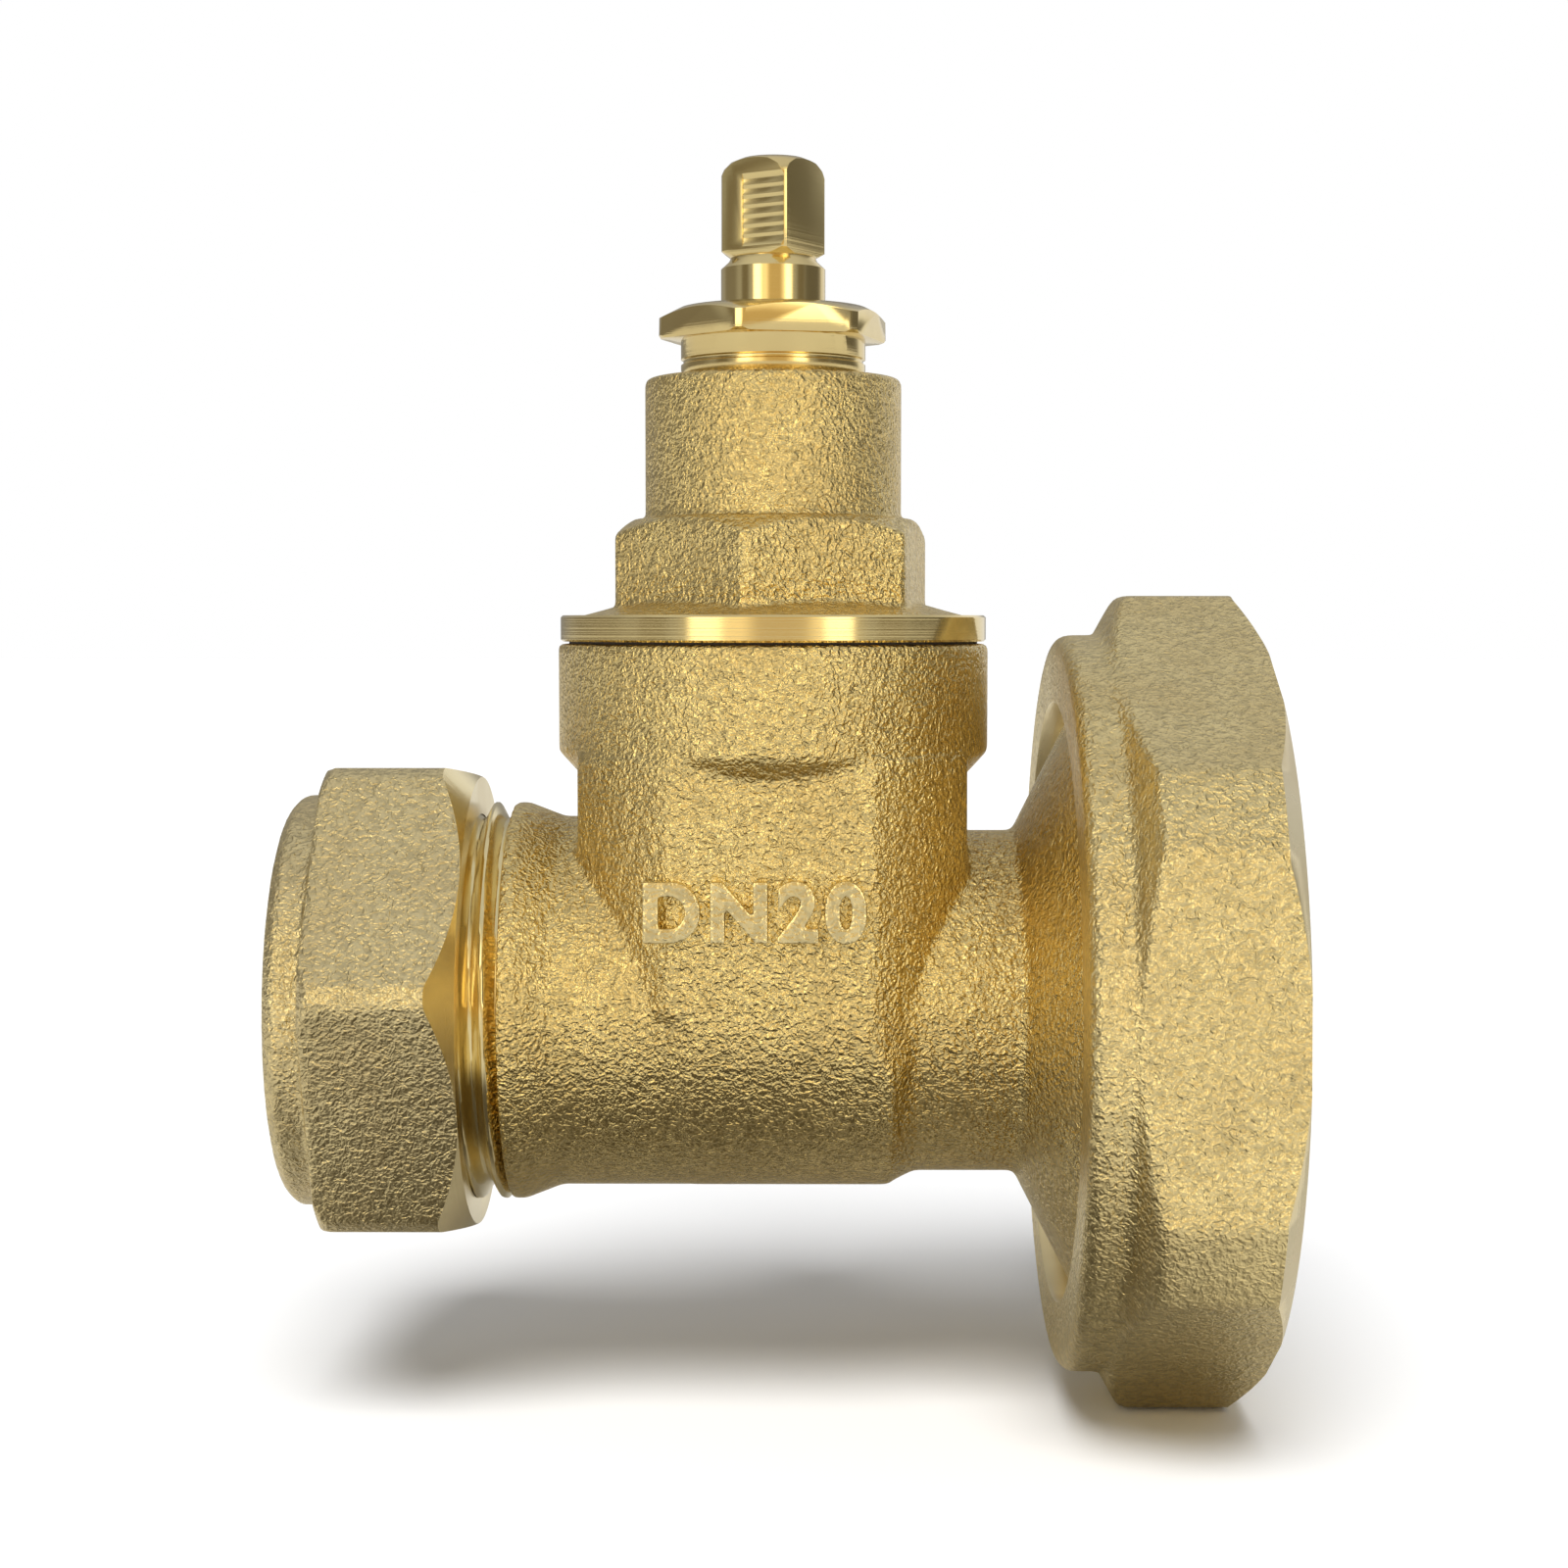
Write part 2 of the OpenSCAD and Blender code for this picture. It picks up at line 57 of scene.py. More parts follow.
# ---- Camera, floor and light ----
# The valve stands on its union nut on a plain pale floor in a white light tent, and is seen level
# from the front, a hand's width off. One soft lamp above the front lays its shadow behind it. In
# reflections on the brass the floor is painted darker, with a painted shadow around the valve.

MM = 0.001

camera = bpy.data.objects.new("camera", bpy.data.cameras.new("camera"))
bpy.context.scene.collection.objects.link(camera)
bpy.context.scene.camera = camera
camera.location = (-26.3 * MM, -192.3 * MM, 27.04 * MM)
camera.rotation_euler = (math.radians(90 - 3.426), 0, math.radians(0.367))
camera.data.lens = 61.63
camera.data.clip_start = 0.005


class Socket:
    """A shader socket that can be written in sums."""

    def __init__(self, nodes, socket):
        self.nodes, self.socket = nodes, socket

    def maths(self, operation, *others):
        return self.nodes.add("ShaderNodeMath", {"operation": operation},
                              {i: o for i, o in enumerate((self, *others))})

    def __add__(self, other): return self.maths("ADD", other)
    def __radd__(self, other): return self.maths("ADD", other)
    def __sub__(self, other): return self.maths("SUBTRACT", other)
    def __rsub__(self, other): return self.nodes.add("ShaderNodeMath", {"operation": "SUBTRACT"}, {0: other, 1: self})
    def __mul__(self, other): return self.maths("MULTIPLY", other)
    def __rmul__(self, other): return self.maths("MULTIPLY", other)
    def __pow__(self, other): return self.maths("POWER", other)


class Shader:
    """The node tree of one finish. add() makes any node and gives its first output."""

    def __init__(self, tree):
        self.tree = tree
        tree.nodes.clear()

    def add(self, kind, settings=None, sockets=None, output=0):
        node = self.tree.nodes.new(kind)
        for name, value in (settings or {}).items():
            if name == "stops":
                ramp = node.color_ramp.elements
                while len(ramp) < len(value):
                    ramp.new(0.5)
                for stop, (place, colour) in zip(ramp, value):
                    stop.position, stop.color = place, (*colour, 1)
            else:
                setattr(node, name, value)
        for name, value in (sockets or {}).items():
            if isinstance(value, Socket):
                self.tree.links.new(value.socket, node.inputs[name])
            else:
                node.inputs[name].default_value = value
        return Socket(self, node.outputs[output])

    def step(self, value, low, high):
        """0 below low, 1 above high, and a soft rise between."""
        return self.add("ShaderNodeMapRange", {"interpolation_type": "SMOOTHSTEP"},
                        {0: value, 1: low, 2: high, 3: 0.0, 4: 1.0})

    def mixed(self, share, first, second):
        """One colour into another."""
        return self.add("ShaderNodeMix", {"data_type": "RGBA"}, {0: share, 6: first, 7: second}, 2)


def light_tent():
    world = bpy.data.worlds.new("light_tent")
    bpy.context.scene.world = world
    world.use_nodes = True
    tent = Shader(world.node_tree)
    way = tent.add("ShaderNodeTexCoord")
    across = tent.add("ShaderNodeSeparateXYZ", None, {0: way}, 0)
    split = across.socket.node.outputs
    x, y, z = (Socket(tent, out) for out in split)
    turn = tent.add("ShaderNodeMath", {"operation": "ARCTAN2"}, {0: x, 1: -1 * y})
    # what the brass mirrors: a warm lamp behind the camera, pale walls and roof, a dark floor in front
    walls = tent.mixed(tent.step(z, -0.3, 0.5), (0.20, 0.19, 0.17, 1), (0.40, 0.395, 0.38, 1))
    walls = tent.mixed(tent.step(z, 0.5, 0.95), walls, (0.66, 0.66, 0.66, 1))
    facing = tent.step(-1 * y, 0.58, 0.995) * tent.step(z, -0.5, 0.05)
    walls = tent.mixed(facing, walls, (1.60, 1.33, 0.85, 1))
    low = tent.step(-1 * y, -0.5, 0.6) * tent.step(-1 * z, 0.15, 0.5)
    walls = tent.mixed(low, walls, (0.24, 0.22, 0.175, 1))
    # upright strip lamps and the dark gaps between them, which draw bright bands on turned brass
    level = 1 - tent.step(tent.add("ShaderNodeMath", {"operation": "ABSOLUTE"}, {0: z}), 0.35, 0.8)
    for middle, half, colour in ((-0.62, 0.16, (3.4, 3.1, 2.3, 1)), (0.62, 0.14, (3.4, 3.1, 2.3, 1)),
                                 (-1.95, 0.4, (0.20, 0.18, 0.15, 1)), (1.75, 0.45, (0.10, 0.09, 0.07, 1)),
                                 (0.08, 0.30, (0.42, 0.28, 0.10, 1)), (-1.15, 0.16, (0.15, 0.12, 0.07, 1)),
                                 (1.15, 0.16, (0.15, 0.12, 0.07, 1)), (2.6, 0.3, (1.0, 1.0, 1.0, 1))):
        off = tent.add("ShaderNodeMath", {"operation": "ABSOLUTE"}, {0: turn - middle})
        walls = tent.mixed((1 - tent.step(off, half * 0.6, half * 1.3)) * level * 0.8, walls, colour)
    seen = tent.add("ShaderNodeLightPath", None, None, 0)
    diffuse = Socket(tent, seen.socket.node.outputs["Is Diffuse Ray"])
    colour = tent.mixed(diffuse, walls, (0.33, 0.335, 0.345, 1))
    colour = tent.mixed(seen, colour, (1.0, 1.0, 1.0, 1))
    glow = tent.add("ShaderNodeBackground", None, {0: colour, 1: 1.0})
    tent.tree.links.new(glow.socket, tent.tree.nodes.new("ShaderNodeOutputWorld").inputs[0])


light_tent()
bpy.context.scene.view_settings.view_transform = "Standard"

lamp = bpy.data.objects.new("lamp", bpy.data.lights.new("lamp", "SUN"))
bpy.context.scene.collection.objects.link(lamp)
lamp.data.energy, lamp.data.angle = 3.05, math.radians(32)
lamp.rotation_euler = (math.radians(36), 0, math.radians(-6))
lamp.visible_glossy = False

bpy.ops.object.select_all(action="DESELECT")
bpy.ops.mesh.primitive_plane_add(size=8, location=(0, 0, cad_box[0][2]))
floor = bpy.context.object
floor.name = "floor"
floor.data.materials.append(bpy.data.materials.new("pale_floor_painted_shadow"))
floor.active_material.use_nodes = True
paint = Shader(floor.active_material.node_tree)
seen = paint.add("ShaderNodeLightPath", None, None, 3)
place = paint.add("ShaderNodeTexCoord", None, None, 3)
out = paint.add("ShaderNodeVectorMath", {"operation": "LENGTH"}, {0: paint.add(
    "ShaderNodeMapping", None, {0: place, 1: (0.022, 0.024, 0), 3: (0.6, 1, 1)})}, 1)
# Painted shadow: rays mirrored by the brass see the floor painted darker, darkest in a patch in front of and beneath
# the valve. The camera and matt surfaces see the floor plain pale.
reflected_painted_shadow = paint.mixed(paint.step(out, 0.012, 0.036), (0.08, 0.07, 0.053, 1), (0.68, 0.66, 0.61, 1))
shade = paint.mixed(seen, (0.97, 0.97, 0.97, 1), reflected_painted_shadow)
surface = paint.add("ShaderNodeBsdfDiffuse", None, {"Color": shade})
paint.tree.links.new(surface.socket, paint.tree.nodes.new("ShaderNodeOutputMaterial").inputs[0])


# ---- Valve body ----
# A hollow brass casting: a barrel for the pipe, a flat-sided chamber for the gate, a round neck and
# a flared tail. The skin is shot-blasted after casting; the bores, the flange and the compression
# thread are then cut bright on a lathe.

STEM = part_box("stem")
STEM_X = 500 * (STEM[0].x + STEM[1].x)


def turned(name, profile, along="X", middle=0.0, steps=144):
    """A solid turned on a lathe. The profile is (place along the axis, radius) in mm; a closed ring has
    no point on the axis."""
    bpy.ops.object.select_all(action="DESELECT")
    bpy.ops.mesh.primitive_circle_add(vertices=len(profile), fill_type="NOTHING")
    piece = bpy.context.object
    piece.name = name
    for vertex, (place, radius) in zip(piece.data.vertices, profile):
        if along == "X":
            vertex.co = (place * MM, 0, radius * MM)
        else:
            vertex.co = ((middle + radius) * MM, 0, place * MM)
    bpy.ops.object.mode_set(mode="EDIT")
    bpy.ops.mesh.select_all(action="DESELECT")
    bpy.ops.mesh.select_mode(type="EDGE")
    bpy.ops.object.mode_set(mode="OBJECT")
    for edge in piece.data.edges:
        edge.select = all(profile[i][1] == 0 for i in edge.vertices)
    bpy.ops.object.mode_set(mode="EDIT")
    bpy.ops.mesh.delete(type="EDGE")
    bpy.ops.mesh.select_all(action="SELECT")
    bpy.ops.mesh.spin(steps=steps, angle=math.tau, center=(0 if along == "X" else middle * MM, 0, 0),
                      axis=(1, 0, 0) if along == "X" else (0, 0, 1))
    bpy.ops.mesh.select_all(action="SELECT")
    bpy.ops.mesh.remove_doubles(threshold=1e-7)
    bpy.ops.mesh.normals_make_consistent(inside=False)
    bpy.ops.object.mode_set(mode="OBJECT")
    return piece


def block(name, low, high):
    """A squared block between two corners, in mm."""
    bpy.ops.object.select_all(action="DESELECT")
    bpy.ops.mesh.primitive_cube_add(size=1, location=[(a + b) / 2 * MM for a, b in zip(low, high)],
                                    scale=[(b - a) * MM for a, b in zip(low, high)])
    bpy.ops.object.transform_apply()
    bpy.context.object.name = name
    return bpy.context.object


def fit(piece, tool, how="DIFFERENCE"):
    """The tool cuts into, is joined to, or trims the piece, and leaves its own finish on what it cuts."""
    bpy.ops.object.select_all(action="DESELECT")
    bpy.context.view_layer.objects.active = piece
    piece.select_set(True)
    bpy.ops.object.modifier_add(type="BOOLEAN")
    change = piece.modifiers[-1]
    change.operation, change.object, change.solver = how, tool, "EXACT"
    change.material_mode = "TRANSFER"
    bpy.ops.object.modifier_apply(modifier=change.name)
    bpy.data.objects.remove(tool)
    return piece


def one_casting(pieces, voxel, rounds):
    """Overlapping solids run into one skin, with every edge and corner softened as in a mould."""
    bpy.ops.object.select_all(action="DESELECT")
    for piece in pieces:
        piece.select_set(True)
    bpy.context.view_layer.objects.active = pieces[0]
    bpy.ops.object.join()
    skin = bpy.context.object
    bpy.ops.object.modifier_add(type="REMESH")
    skin.modifiers[-1].mode, skin.modifiers[-1].voxel_size = "VOXEL", voxel * MM
    bpy.ops.object.modifier_apply(modifier=skin.modifiers[-1].name)
    bpy.ops.object.modifier_add(type="SMOOTH")
    skin.modifiers[-1].factor, skin.modifiers[-1].iterations = 0.5, rounds
    bpy.ops.object.modifier_apply(modifier=skin.modifiers[-1].name)
    return skin


def finish_with(piece, material):
    piece.data.materials.clear()
    piece.data.materials.append(material)
    return piece


def keep(piece, body, node, crease=35):
    """Smooth shading between real edges, then the place of the piece in the valve."""
    bpy.ops.object.select_all(action="DESELECT")
    bpy.context.view_layer.objects.active = piece
    piece.select_set(True)
    bpy.ops.object.shade_smooth_by_angle(angle=math.radians(crease))
    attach(piece, body)
    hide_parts(node)


def threaded(name, start, end, lead, crest, root, along="X", middle=0.0, starts=1, faded=True):
    """A screw thread as a solid rod with rounded crests and roots. Threads of one lead are all in
    step with each other, so that a nut runs true on what it is screwed onto."""
    rows = round((end - start) / lead * starts * 14)
    line = [(start + (end - start) * i / rows, crest) for i in range(rows + 1)]
    rod = turned(name, [(start, 0), *line, (end, 0)], along, middle)
    centre = Vector((0, 0, 0) if along == "X" else (middle * MM, 0, 0))
    axis = Vector((1, 0, 0) if along == "X" else (0, 0, 1))
    for vertex in rod.data.vertices:
        place = (vertex.co - centre).dot(axis)
        out = vertex.co - centre - place * axis
        if out.length > 1e-6:
            angle = math.atan2(out.z, out.y) if along == "X" else math.atan2(out.y, out.x)
            place /= MM
            turn = starts * (place / lead - angle / math.tau) % 1
            rise = min(1, max(0, (abs(2 * turn - 1) - 0.12) / 0.76))
            rise = 0.6 * rise + 0.4 * rise * rise * (3 - 2 * rise)
            if faded:
                rise *= min(1, 0.05 + min(place - start, end - place) * 1.6 * starts / lead)
            vertex.co = centre + place * MM * axis + out.normalized() * (root + (crest - root) * rise) * MM
    return rod


def brass(name, colour, roughness, grain=None, lines=None):
    """Brass with a shot-blasted grain (depth, size) or with the fine lines of a lathe tool
    (depth, spacing, axis). Sizes are in mm."""
    material = bpy.data.materials.new(name)
    material.use_nodes = True
    metal = Shader(material.node_tree)
    place = metal.add("ShaderNodeTexCoord", None, None, 3)
    broad = metal.add("ShaderNodeTexNoise", None, {"Vector": place, "Scale": 170.0, "Detail": 3.0})
    patch = metal.step(broad, 0.35, 0.68)
    dull = tuple(c * k for c, k in zip(colour, (0.86, 0.82, 0.78)))
    shade = metal.mixed(patch * 0.55, (*colour, 1), (*dull, 1))
    rough = roughness + 0.05 * patch
    sockets = {"Metallic": 1.0}
    if grain:
        depth, size = grain
        flow = metal.add("ShaderNodeTexNoise", None, {"Vector": place, "Scale": 1500.0 / size, "Detail": 1.0,
                                                      "Distortion": 0.7})
        fine = metal.add("ShaderNodeTexNoise", None, {"Vector": place, "Scale": 3100.0 / size, "Detail": 1.0,
                                                      "Distortion": 0.3})
        worms = metal.add("ShaderNodeTexNoise", None, {"Vector": place, "Scale": 1000.0 / size, "Detail": 0.0,
                                                       "Distortion": 1.2})
        ridge = metal.add("ShaderNodeMath", {"operation": "ABSOLUTE"}, {0: worms * 2 - 1})
        height = (1 - metal.step(ridge, 0.0, 0.35)) * 0.2 + flow + fine * 0.62
        shade = metal.mixed(metal.step(flow, 0.58, 0.38) * 0.5, shade, (*(c * 0.6 for c in colour), 1))
        sockets["Normal"] = metal.add("ShaderNodeBump", None, {"Strength": 1.0, "Distance": depth * MM,
                                                                "Height": height})
    if lines:
        depth, spacing, axis = lines
        run = metal.add("ShaderNodeMapping", None, {0: place, 3: [1000.0 / spacing if i == axis else 6.0
                                                                  for i in range(3)]})
        cut = metal.add("ShaderNodeTexNoise", None, {"Vector": run, "Scale": 1.0, "Detail": 2.0})
        sockets["Normal"] = metal.add("ShaderNodeBump", None, {"Strength": 1.0, "Distance": depth * MM,
                                                                "Height": cut})
    sockets["Base Color"], sockets["Roughness"] = shade, rough
    surface = metal.add("ShaderNodeBsdfPrincipled", None, sockets)
    metal.tree.links.new(surface.socket, metal.tree.nodes.new("ShaderNodeOutputMaterial").inputs[0])
    return material


cast_skin = brass("cast_skin", (0.87, 0.69, 0.31), 0.245, grain=(0.2, 0.74))
bright_bore = brass("bright_bore", (0.88, 0.75, 0.42), 0.16, lines=(0.01, 0.12, 0))

NECK_TOP = 1000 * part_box("bonnet_gasket")[0].z
PUMP_FACE = 1000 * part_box("valve_body")[1].x
PIPE_END = 1000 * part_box("valve_body")[0].x
FRONT = 13.95

barrel = turned("valve_body", [(STEM_X - 18.5, 0), (STEM_X - 18.5, 14.2), (STEM_X - 17.6, 14.2), (STEM_X - 15.0, 13.2),
                               (STEM_X + 8, 13.2), (STEM_X + 10, 12.2), (STEM_X + 17.2, 12.2),
                               (STEM_X + 21.75, 21.1), (STEM_X + 23.6, 21.1), (STEM_X + 23.6, 0)])
foot = turned("foot", [(STEM_X - 12, 0), (STEM_X - 12, 12), (STEM_X - 5.5, FRONT), (STEM_X + 8.2, FRONT),
                       (STEM_X + 9.2, FRONT - 1), (STEM_X + 9.2, 0)])
for vertex in foot.data.vertices:
    vertex.co.z += (FRONT - 13.2) * MM
chamber = [fit(solid, turned("corners", [(-15, 0), (-15, 15.55), (18.2, 15.55), (18.2, 0)], "Z", STEM_X), "INTERSECT")
           for solid in (foot, block("chamber", (STEM_X - 13.45, -FRONT, 0.7), (STEM_X + 13.45, FRONT, 17.9)))]
neck = turned("neck", [(0, 0), (0, 13.1), (15.6, 13.1), (18.0, 15.3), (NECK_TOP, 15.3), (NECK_TOP, 0)], "Z", STEM_X)
casing = one_casting([barrel, *chamber, neck], 0.27, 5)
finish_with(casing, cast_skin)

bpy.ops.object.select_all(action="DESELECT")
bpy.ops.object.text_add(rotation=(math.radians(90), 0, 0))
size_mark = bpy.context.object
size_mark.data.body = "DN20"
size_mark.data.size, size_mark.data.space_character = 5.3 * MM, 1.2
size_mark.data.extrude, size_mark.data.offset = 0.85 * MM, 0.26 * MM
size_mark.data.align_x, size_mark.data.align_y = "CENTER", "CENTER"
size_mark.location = ((STEM_X - 1.2) * MM, -FRONT * MM, 7.6 * MM)
bpy.ops.object.convert(target="MESH")
bpy.ops.object.transform_apply()
# The raised letters get a paler copy of the cast brass with a finer grain. The paler colour is a painted highlight that
# makes them stand out from the casting.
size_mark = finish_with(one_casting([bpy.context.object], 0.11, 3),
                        brass("mark_skin_painted_highlight", (0.88, 0.74, 0.40), 0.24, grain=(0.07, 0.9)))
fit(casing, size_mark, "UNION")

pipe_thread = threaded("pipe_thread", PIPE_END, STEM_X - 17.5, 1.8, 14.2, 13.05)
fit(casing, finish_with(pipe_thread, bright_bore), "UNION")
flange = turned("flange", [(STEM_X + 22.8, 0), (STEM_X + 22.8, 21.0), (STEM_X + 23.15, 21.9), (STEM_X + 23.45, 22.2),
                           (PUMP_FACE - 0.3, 22.2), (PUMP_FACE, 21.9), (PUMP_FACE, 0)])
fit(casing, finish_with(flange, bright_bore), "UNION")

waterway = turned("waterway", [(PIPE_END - 2, 0), (PIPE_END - 2, 14.85), (PIPE_END + 1.75, 11.1), (STEM_X - 12.5, 11.1),
                               (STEM_X - 12.5, 7.5), (STEM_X + 12, 7.5), (PUMP_FACE - 2, 15.5), (PUMP_FACE - 0.4, 15.5),
                               (PUMP_FACE + 1, 16.9), (PUMP_FACE + 1, 0)])
fit(casing, finish_with(waterway, bright_bore))
neck_bore = turned("neck_bore", [(9.6, 0), (9.6, 9.4), (20.55, 9.4), (20.55, 12.55), (NECK_TOP + 1, 12.55),
                                 (NECK_TOP + 1, 0)], "Z", STEM_X)
fit(casing, finish_with(neck_bore, bright_bore))
lug_slots = block("lug_slots", (STEM_X - 1.35, -10.5, -4.5), (STEM_X + 1.35, 10.5, 20.6))
fit(casing, finish_with(lug_slots, bright_bore))

bpy.ops.object.select_all(action="DESELECT")
bpy.ops.mesh.primitive_cylinder_add(vertices=96, radius=8.7 * MM, depth=13.4 * MM, location=(STEM_X * MM, 0, 0),
                                    rotation=(0, math.radians(90), 0))
bpy.ops.object.transform_apply()
gate_pocket = bpy.context.object
for vertex in gate_pocket.data.vertices:
    if vertex.co.z > 0.01 * MM:
        vertex.co.y, vertex.co.z = math.copysign(8.7 * MM, vertex.co.y), min(20.58 * MM, 20 * vertex.co.z)
    slope = 5.65 * MM + min(vertex.co.z, 9.7 * MM) * math.tan(math.radians(5))
    vertex.co.x = STEM_X * MM + math.copysign(slope, vertex.co.x - STEM_X * MM)
fit(casing, finish_with(gate_pocket, bright_bore))
keep(casing, "casing", "valve_body")


# ---- Gate ----
# A forged brass wedge that the stem draws up out of the waterway. Its two faces are lapped to the
# seats, and two lugs keep it from turning.

def dress(node, material):
    """A piece that is right as it was built gets its real finish."""
    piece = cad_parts[node]
    piece.data.materials.clear()
    piece.data.materials.append(material)
    for face in piece.data.polygons:
        face.material_index = 0


dress("gate_wedge", brass("lapped_brass", (0.83, 0.66, 0.34), 0.28, lines=(0.012, 0.16, 1)))


# ---- Stem ----
# Turned from brass bar: a two-start thread for the gate, a collar that the bonnet holds down, and a
# bare square head for a key, milled across after turning. The cutter left ripples on one flat.

def soften(piece, width, crease=30, segments=2):
    """Sharp edges are broken, as a file or a tumbler leaves them."""
    bpy.ops.object.select_all(action="DESELECT")
    bpy.context.view_layer.objects.active = piece
    piece.select_set(True)
    bpy.ops.object.modifier_add(type="BEVEL")
    edge = piece.modifiers[-1]
    edge.limit_method, edge.angle_limit = "ANGLE", math.radians(crease)
    edge.width, edge.segments, edge.use_clamp_overlap = width * MM, segments, True
    bpy.ops.object.modifier_apply(modifier=edge.name)
    return piece


turned_bright = brass("turned_bright", (0.84, 0.68, 0.33), 0.12, lines=(0.006, 0.10, 2))
milled_flat = brass("milled_flat", (0.84, 0.69, 0.34), 0.17, lines=(0.012, 0.3, 2))

HEAD_TOP = 1000 * STEM[1].z
STEM_FOOT = 1000 * STEM[0].z
HEAD_TURN = math.radians(45 + 12.5)

stem = turned("stem", [(HEAD_TOP - 28.6, 0), (HEAD_TOP - 28.6, 3.3), (HEAD_TOP - 28.2, 3.7), (HEAD_TOP - 25.05, 3.7),
                       (HEAD_TOP - 25.05, 5.2), (HEAD_TOP - 23.25, 5.2), (HEAD_TOP - 23.25, 3.7),
                       (HEAD_TOP - 7.8, 3.7), (HEAD_TOP - 7.3, 3.15), (HEAD_TOP - 7.0, 3.0), (HEAD_TOP - 6.6, 3.7),
                       (HEAD_TOP - 1.3, 3.7), (HEAD_TOP - 0.85, 3.5), (HEAD_TOP - 0.4, 3.05), (HEAD_TOP - 0.08, 2.3),
                       (HEAD_TOP, 1.4), (HEAD_TOP, 0)], "Z", STEM_X)
finish_with(stem, turned_bright)
for quarter in range(4):
    flat = block("flat", (2.75, -6, HEAD_TOP - 6.95), (9, 6, HEAD_TOP + 1))
    if quarter == 2:
        for ripple in range(7):
            bpy.ops.object.select_all(action="DESELECT")
            bpy.ops.mesh.primitive_cylinder_add(vertices=24, radius=0.9 * MM, depth=3.4 * MM,
                                                location=(3.50 * MM, 0.9 * MM, (HEAD_TOP - 5.9 + 0.68 * ripple) * MM),
                                                rotation=(math.radians(90), 0, 0))
            bpy.ops.object.transform_apply()
            fit(flat, bpy.context.object, "UNION")
    flat.data.transform(Matrix.Translation((STEM_X * MM, 0, 0))
                        @ Matrix.Rotation(HEAD_TURN + quarter * math.pi / 2, 4, "Z"))
    fit(stem, finish_with(flat, milled_flat))
soften(stem, 0.09, 28)
gate_thread = threaded("gate_thread", STEM_FOOT, HEAD_TOP - 28.4, 2.5, 3.3, 2.75, "Z", STEM_X, starts=2)
fit(stem, finish_with(gate_thread, turned_bright), "UNION")
keep(stem, "stem", "stem", 30)


# ---- Stuffing box rings ----
# Two thrust washers hold the stem's collar, and two moulded rings seal the stem above it. All four
# are white, slightly waxy plastic, pressed together by a brass follower.

def plain(name, colour, roughness, mottle, depth, size):
    """A matt finish with a faint mottle and a fine moulded or pressed grain. Sizes are in mm."""
    material = bpy.data.materials.new(name)
    material.use_nodes = True
    skin = Shader(material.node_tree)
    place = skin.add("ShaderNodeTexCoord", None, None, 3)
    cloud = skin.add("ShaderNodeTexNoise", None, {"Vector": place, "Scale": 600.0, "Detail": 4.0})
    grain = skin.add("ShaderNodeTexNoise", None, {"Vector": place, "Scale": 1000.0 / size, "Detail": 2.0})
    shade = skin.mixed(skin.step(cloud, 0.3, 0.7) * mottle, (*colour, 1), (*(c * 0.55 for c in colour), 1))
    bump = skin.add("ShaderNodeBump", None, {"Strength": 1.0, "Distance": depth * MM, "Height": grain})
    surface = skin.add("ShaderNodeBsdfPrincipled", None, {"Base Color": shade, "Roughness": roughness, "Normal": bump})
    skin.tree.links.new(surface.socket, skin.tree.nodes.new("ShaderNodeOutputMaterial").inputs[0])
    return material


white_ring = plain("white_ring", (0.86, 0.86, 0.83), 0.42, 0.15, 0.01, 0.3)
for node in ("thrust_washer_lower", "thrust_washer_upper", "packing_ring_lower", "packing_ring_upper"):
    dress(node, white_ring)
dress("gland_follower", turned_bright)


# ---- Bonnet ----
# A hot-forged brass cap that screws into the neck: a tower for the stuffing box, a hexagon for the
# spanner and a wide flange, whose edge is turned bright. It is shot-blasted before it is machined.

def hexagon(name, across, start, end, along="Z", middle=0.0, turn=0.0):
    """A six-sided bar. A turn of 0 leaves a corner on +Y (along X) or a flat on +X (along Z)."""
    bpy.ops.object.select_all(action="DESELECT")
    bpy.ops.mesh.primitive_cylinder_add(vertices=6, radius=across / math.sqrt(3) * MM, depth=(end - start) * MM)
    bar = bpy.context.object
    bar.name = name
    if along == "X":
        pose = Matrix.Translation(((start + end) / 2 * MM, 0, 0)) @ Matrix.Rotation(math.radians(90), 4, "Y")
    else:
        pose = Matrix.Translation((middle * MM, 0, (start + end) / 2 * MM))
    bar.data.transform(pose @ Matrix.Rotation(math.radians(turn), 4, "Z"))
    return bar


forged_skin = brass("forged_skin", (0.87, 0.69, 0.31), 0.245, grain=(0.2, 0.74))
turned_edge = brass("turned_edge", (0.85, 0.69, 0.34), 0.09, lines=(0.004, 0.10, 2))

SKIRT = 1000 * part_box("bonnet")[0].z
TOWER = 1000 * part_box("bonnet")[1].z
FLANGE = NECK_TOP + 0.4

hexed = fit(hexagon("bonnet_hexagon", 20.5, FLANGE + 1.4, FLANGE + 8.4, "Z", STEM_X, 20.5 + 30),
            turned("hexagon_form", [(FLANGE, 0), (FLANGE, 11.75), (FLANGE + 7.2, 11.75), (FLANGE + 8.4, 9.9),
                                    (FLANGE + 8.4, 0)], "Z", STEM_X), "INTERSECT")
tower = turned("tower", [(FLANGE + 0.8, 0), (FLANGE + 0.8, 9.1), (TOWER - 0.3, 9.1), (TOWER, 8.8), (TOWER, 0)],
               "Z", STEM_X)
cone = turned("cone", [(FLANGE + 0.6, 0), (FLANGE + 0.6, 14.2), (FLANGE + 1.5, 13.9), (FLANGE + 1.95, 12.2),
                       (FLANGE + 2.5, 10.3), (FLANGE + 2.5, 0)], "Z", STEM_X)
bonnet = finish_with(one_casting([tower, hexed, cone], 0.2, 7), forged_skin)
bonnet.name = "bonnet"
